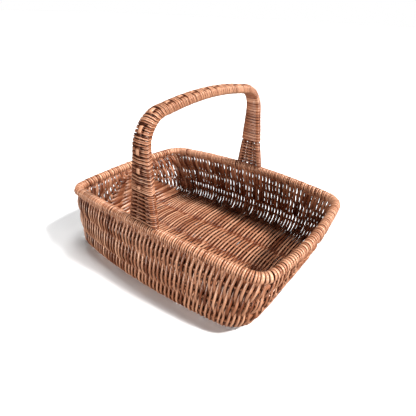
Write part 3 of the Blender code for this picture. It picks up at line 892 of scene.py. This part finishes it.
def flattened(value):
    """Brings a sine or cosine closer to 1, which makes a round outline squarer."""
    squareness = 3.4
    return np.sign(value) * np.abs(value) ** (2.0 / squareness)


def listing_marks(turn, side, outer, openness, on_leg):
    """How much a turn narrows and is painted dark, as painted shade, where the strip dives under it and
    beside the strip where it shows.
    """
    dive_reach, gap, gap_reach = 0.0085, 0.0012, 0.0015
    phase = turn % LISTING_PERIOD
    dives = phase > LISTING_PERIOD - 1 or 0 <= phase - LISTING_SHOWN < 1
    dive = dives * soft_band(side, dive_reach) * outer
    from_gap = np.abs(side) - LISTING_HALF_WIDTH - gap
    beside = soft_band(from_gap, gap_reach) * listing_shown(turn) * outer
    open_left, open_right = openness
    beside = beside * np.where(side > 0, open_right, open_left) * (1 - 0.5 * on_leg)
    return dive, beside


def skein_turn(rods, place, turn, tone, openness, on_leg, random, sizes):
    """One turn of skein round the handle's rods, over the listing strip where that is covered."""
    usual_thickness, strip_reach = 0.0023, 0.0046
    angle = turn_angles()
    across, upward = flattened(np.cos(angle)), flattened(np.sin(angle))
    outer = upward > 0
    points, normals, half_widths = BOW.at(place)
    thickness = usual_thickness * random.uniform(0.88, 1.1)
    side = across * (half_widths - HANDLE_WRAP_THICKNESS + thickness / 2)
    high = upward * (HANDLE_ROD_RADIUS + SEAT_GAP + thickness / 2)
    covered = outer * (1 - listing_shown(turn))
    high = high + soft_band(side, strip_reach) * covered * LISTING_THICKNESS
    spots = points + side[:, None] * ASIDE + high[:, None] * normals
    radial = unit((across * 0.8)[:, None] * ASIDE + upward[:, None] * normals)
    inner_spread = np.where(upward < -0.3, 1.34, 1.0)
    width = sizes.skein_pitch * random.uniform(0.86, 0.95) * inner_spread
    dive, beside = listing_marks(turn, side, outer, openness, on_leg)
    width = width * (1 - 0.92 * dive) * (1 - 0.85 * beside)
    tone = float(np.clip(tone + random.normal(0, 0.14), 0, 1))
    # Painted shade darkens the turns where the strip dives and beside it, so the holes there look dark
    rods.sweep(
        spots, radial, width, thickness, tone, TURN_SIDES,
        closed=True, turn=math.pi / TURN_SIDES, shade=np.maximum(dive, beside),
    )


def make_skein(sizes):
    """The skein wound round the handle from foot to foot, in bunches of one tone.

    It is painted paler on top and darker down the legs, as painted light and shade. Every second turn is
    darker and lies close to its partner.
    """
    random = np.random.default_rng(SEED + 21)
    start, finish = BOW.foot_end - SKEIN_OVERLAP, BOW.lengths[-1] - BOW.foot_end + SKEIN_OVERLAP
    turns = int((finish - start) / sizes.skein_pitch)
    along_turn = (turn_angles() / (2 * math.pi) - 0.25) * 0.9
    rods = RodMesh()
    tone = tone_of(random)
    openness = random.uniform(0.3, 1.0, (turns, 2))
    for number in range(turns):
        on_leg = float(share_between(abs(number / turns - 0.5), 0.18, 0.38))
        if number % 7 == 0 or random.random() < 0.12:
            # Painted light and shade: a pale tone on top, darkened down the legs
            tone = random.normal(0.92, 0.12) - 0.36 * on_leg
        darker, shift = (0.3, -0.00022) if number % 2 == 1 else (0.0, 0.00022)
        shift += random.normal(0.0, 0.00012)
        turn = number + 0.5
        place = start + (turn + along_turn) * sizes.skein_pitch + shift
        opened = openness[int(turn // LISTING_PERIOD)]
        skein_turn(rods, place, turn, tone - darker, opened, on_leg, random, sizes)
    rods.make("handle_skein", skein_material(), ["handle_wrap"], slot="buff_willow_skein")


def make_listing(sizes):
    """The flat strip that goes over four turns of the skein and under the next six. Where it runs under,
    it is painted dark as painted shade.
    """
    inset, rise = 0.004, 0.0026
    start, finish = BOW.foot_end + inset, BOW.lengths[-1] - BOW.foot_end - inset
    lengths = np.arange(start, finish, sizes.skein_pitch * 0.4)
    points, normals, _ = BOW.at(lengths)
    shown = listing_shown((lengths - BOW.foot_end + SKEIN_OVERLAP) / sizes.skein_pitch)
    low = HANDLE_ROD_RADIUS + SEAT_GAP + LISTING_THICKNESS / 2
    points = points + normals * (low + shown * rise)[:, None]
    rods = RodMesh()
    # Painted shade: the strip darkens where the turns cover it
    rods.sweep(
        points, normals, 2 * LISTING_HALF_WIDTH, LISTING_THICKNESS, 0.9,
        sides=8, turn=math.pi / 8, shade=0.9 * (1 - shown),
    )
    rods.make("handle_listing", skein_material(), ["handle_listing_strip"], slot="buff_willow_skein")


def foot_rods(height):
    """Length along the bow, and places and radii of a foot's five rods, at a height above the rim."""
    length = np.interp(height, *BOW.leg())
    half = float(np.interp(length, BOW.lengths, BOW.half_widths))
    main = half - HANDLE_WRAP_THICKNESS - SEAT_GAP - HANDLE_ROD_RADIUS
    fan = (main - HANDLE_ROD_RADIUS + MIDDLE_ROD_RADIUS) / 2
    thin = FAN_ROD_RADIUS * (1 - 0.6 * height / FOOT_WEAVE_HEIGHT)
    places = np.array([-main, -fan, 0.0, fan, main])
    radii = np.array([HANDLE_ROD_RADIUS, thin, MIDDLE_ROD_RADIUS, thin, HANDLE_ROD_RADIUS])
    return length, places, radii


def row_knots(row, places, reach):
    """A row's flat line: in front of one rod and behind the next, and back past every second one."""
    first = 1.0 if row % 2 == 0 else -1.0
    knots = [(places[0] - reach[0], 0.0)]
    for k in range(5):
        knots.append((places[k], reach[k] * (first if k % 2 == 0 else -first)))
    knots.append((places[4] + reach[4], 0.0))
    for k in (4, 2, 0):
        knots.append((places[k], reach[k] * -first))
    return np.array(knots)


def make_foot(word, mirror, sizes, random):
    """The weave that binds a foot's rods: rows that turn back round the outer rods."""
    first_row, below_first, thickness, steps = 0.0105, 0.001, 0.0024, 34
    rows = int((FOOT_WEAVE_HEIGHT - first_row + below_first) / sizes.foot_pitch)
    up_leg = unit(np.array([0.0, HANDLE_LEAN, HANDLE_HEIGHT - HANDLE_CORNER_RADIUS]))
    turn = np.linspace(0, 2 * math.pi, steps, endpoint=False)
    climb = sizes.foot_pitch * 0.25 * np.sin(turn)
    flip = np.array([1.0, mirror, 1.0])
    rods = RodMesh()
    for row in range(rows):
        length, places, radii = foot_rods(first_row + row * sizes.foot_pitch)
        centre, normal, _ = BOW.at(np.array([length]))
        loop = smooth_loop(row_knots(row, places, radii + thickness / 2), steps)
        side, front = loop[:, :1], loop[:, 1:]
        spots = centre + side * ASIDE + front * normal + climb[:, None] * up_leg
        spots[:, 2] += random.normal(0.0, 0.0002)
        radial = unit(side * 0.2 * ASIDE + front * normal)
        tone = tone_of(random) * 0.75
        rods.sweep(spots * flip, radial * flip, thickness, thickness, tone, TURN_SIDES, closed=True)
    rods.make(f"foot_weavers_{word}", weaver_material(), [f"{word}_foot_weave"])


def smooth_loop(knots, count):
    """A closed smooth line through flat points."""
    places = np.linspace(0, len(knots), count, endpoint=False)
    k = places.astype(int)
    part = (places - k)[:, None]
    a, b, c, d = (knots[(k + step) % len(knots)] for step in (-1, 0, 1, 2))
    spots = 2 * b + (c - a) * part
    spots = spots + (2 * a - 5 * b + 4 * c - d) * part**2
    return (spots + (3 * b - a - 3 * c + d) * part**3) / 2


TRAY = Tray()
BOW = Bow()


class BASKET_OT_bare_rods(bpy.types.Operator):
    """Gives the hoop, the ribs and the handle's rods their willow finish; the hoop and the handle's rods
    are painted near black as painted shade
    """

    bl_idname = "basket.bare_rods"
    bl_label = "Finish hoop, ribs and handle rods"

    def execute(self, context):
        rib = willow_material("willow_ribs", stain=0.4, bump=0.0003, along_rod=False, tone=0.4)
        # Painted shade: the hoop and the handle's rods get a near-black tone, so they look dark where they
        # show between turns
        rod = willow_material("willow_bare_rods_painted_shade", stain=0.5, bump=0.0003, along_rod=False, tone=0.05)
        for name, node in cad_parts.items():
            if any(word in name for word in ("hoop", "rib", "rod")):
                node.data.materials.clear()
                node.data.materials.append(rib if "rib" in name else rod)
        return {"FINISHED"}


class BASKET_OT_crosswise_weave(bpy.types.Operator):
    """Weaves the rods that cross the floor from rim to rim"""

    bl_idname = "basket.crosswise_weave"
    bl_label = "Weave walls and floor"

    def execute(self, context):
        make_crosswise_rods(context.scene.basket_sizes)
        return {"FINISHED"}


class BASKET_OT_end_weaves(bpy.types.Operator):
    """Hangs the U-shaped rods of the two ends"""

    bl_idname = "basket.end_weaves"
    bl_label = "Weave ends"

    def execute(self, context):
        make_end_rods(context.scene.basket_sizes)
        return {"FINISHED"}


class BASKET_OT_rim_turns(bpy.types.Operator):
    """Lays the turns round the rim hoop and at the handle's feet"""

    bl_idname = "basket.rim_turns"
    bl_label = "Bind rim"

    def execute(self, context):
        make_rim_turns(context.scene.basket_sizes)
        return {"FINISHED"}


class BASKET_OT_foot_weaves(bpy.types.Operator):
    """Weaves the fan-shaped feet of the handle"""

    bl_idname = "basket.foot_weaves"
    bl_label = "Weave feet"

    def execute(self, context):
        random = np.random.default_rng(SEED + 31)
        for word, mirror in (("front", 1.0), ("back", -1.0)):
            make_foot(word, mirror, context.scene.basket_sizes, random)
        return {"FINISHED"}


class BASKET_OT_handle_skein(bpy.types.Operator):
    """Winds the skein round the handle and lays the listing strip in it"""

    bl_idname = "basket.handle_skein"
    bl_label = "Wind handle"

    def execute(self, context):
        make_skein(context.scene.basket_sizes)
        make_listing(context.scene.basket_sizes)
        return {"FINISHED"}


class BASKET_OT_stage(bpy.types.Operator):
    """Sets the pale floor, the soft lamps and the camera"""

    bl_idname = "basket.stage"
    bl_label = "Set stage"

    def execute(self, context):
        bpy.ops.object.select_all(action="DESELECT")
        bpy.ops.mesh.primitive_plane_add(size=STAGE_SIZE, location=(0.0, 0.0, 0.0))
        floor = context.active_object
        floor.name = "floor"
        floor.data.materials.append(floor_material(context.scene.basket_colours.floor))
        set_world(context.scene)
        for name, (back, softness, strength) in LAMPS.items():
            add_lamp(name, back, softness, strength)
        set_camera(context.scene)
        context.scene.view_settings.view_transform = "Standard"
        return {"FINISHED"}


def floor_material(colour):
    """A floor that throws back less light than it shows to the camera.

    It lets the lamps' light through and is clear from below, so that the underside can be seen.
    """
    material = bpy.data.materials.new("pale_floor")
    material.use_nodes = True
    tree = material.node_tree
    shown = tree.nodes["Principled BSDF"]
    fill(tree, shown, {"Base Color": (*colour, 1.0), "Roughness": 0.9, "Specular IOR Level": 0.0})
    dim = (*[value * FLOOR_BOUNCE for value in colour], 1.0)
    dimmed = add_node(tree, "ShaderNodeBsdfDiffuse", {"Color": dim})
    rays = tree.nodes.new("ShaderNodeLightPath").outputs
    face = tree.nodes.new("ShaderNodeNewGeometry").outputs
    clear = tree.nodes.new("ShaderNodeBsdfTransparent")
    passed = add_maths(tree, "MAXIMUM", face["Backfacing"], rays["Is Shadow Ray"])
    solid = mix_shaders(tree, rays["Is Camera Ray"], dimmed, shown)
    seen = mix_shaders(tree, passed, solid, clear)
    fill(tree, tree.nodes["Material Output"], {"Surface": seen.outputs[0]})
    return material


def mix_shaders(tree, share, first, second):
    """The shader that lies between two shaders."""
    return add_node(tree, "ShaderNodeMixShader", {0: share, 1: first.outputs[0], 2: second.outputs[0]})


def set_world(scene):
    """A white surround to the camera, and a dimmer even light on the object."""
    world = bpy.data.worlds.new("studio")
    scene.world = world
    world.use_nodes = True
    tree = world.node_tree
    rays = tree.nodes.new("ShaderNodeLightPath")
    level = add_ramp(tree, rays.outputs["Is Camera Ray"], 0.0, 1.0, SURROUND_LIGHT, 1.0)
    fill(tree, tree.nodes["Background"], {"Color": WHITE, "Strength": level})


def add_lamp(name, back, softness, strength):
    """An even light from one side. Back points towards it, softness is its width in degrees."""
    data = bpy.data.lights.new(name, "SUN")
    data.angle = math.radians(softness)
    data.energy = strength
    lamp = bpy.data.objects.new(name, data)
    bpy.context.scene.collection.objects.link(lamp)
    back = unit(np.array(back))
    right = unit(np.cross(UP, back))
    rows = np.stack([right, np.cross(back, right), back, back], -1).tolist()
    lamp.matrix_world = Matrix([*rows, [0, 0, 0, 1]])


def set_camera(scene):
    """The camera of the photograph: turned round Z, tipped down and rolled."""
    azimuth, elevation, roll = np.radians([CAMERA_AZIMUTH, CAMERA_ELEVATION, CAMERA_ROLL])
    data = bpy.data.cameras.new("camera")
    data.lens = CAMERA_LENS
    data.sensor_width = CAMERA_SENSOR
    camera = bpy.data.objects.new("camera", data)
    scene.collection.objects.link(camera)
    turned = Matrix.Rotation(azimuth, 4, "Z")
    tipped = Matrix.Rotation(math.pi / 2 - elevation, 4, "X")
    rolled = Matrix.Rotation(roll, 4, "Z")
    camera.matrix_world = Matrix.Translation(CAMERA_PLACE) @ turned @ tipped @ rolled
    scene.camera = camera


class BASKET_PT_panel(bpy.types.Panel):
    """Lists the steps that weave the basket"""

    bl_label = "Mushroom basket"
    bl_idname = "BASKET_PT_panel"
    bl_space_type = "VIEW_3D"
    bl_region_type = "UI"
    bl_category = "Basket"

    def draw(self, context):
        for step in STEPS:
            self.layout.operator(step.bl_idname)
        for name in BasketSizes.__annotations__:
            self.layout.prop(context.scene.basket_sizes, name)
        for name in BasketColours.__annotations__:
            self.layout.prop(context.scene.basket_colours, name)


STEPS = (
    BASKET_OT_bare_rods,
    BASKET_OT_crosswise_weave,
    BASKET_OT_end_weaves,
    BASKET_OT_rim_turns,
    BASKET_OT_foot_weaves,
    BASKET_OT_handle_skein,
    BASKET_OT_stage,
)
CLASSES = (BasketSizes, BasketColours, *STEPS, BASKET_PT_panel)


def register():
    for item in CLASSES:
        bpy.utils.register_class(item)
    bpy.types.Scene.basket_sizes = bpy.props.PointerProperty(type=BasketSizes)
    bpy.types.Scene.basket_colours = bpy.props.PointerProperty(type=BasketColours)


def unregister():
    del bpy.types.Scene.basket_colours
    del bpy.types.Scene.basket_sizes
    for item in reversed(CLASSES):
        bpy.utils.unregister_class(item)


def main():
    register()
    bpy.ops.object.select_all(action="DESELECT")
    bpy.ops.basket.bare_rods()
    bpy.ops.basket.crosswise_weave()
    bpy.ops.basket.end_weaves()
    bpy.ops.basket.rim_turns()
    bpy.ops.basket.foot_weaves()
    bpy.ops.basket.handle_skein()
    bpy.ops.basket.stage()
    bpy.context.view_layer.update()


if __name__ == "__main__":
    main()
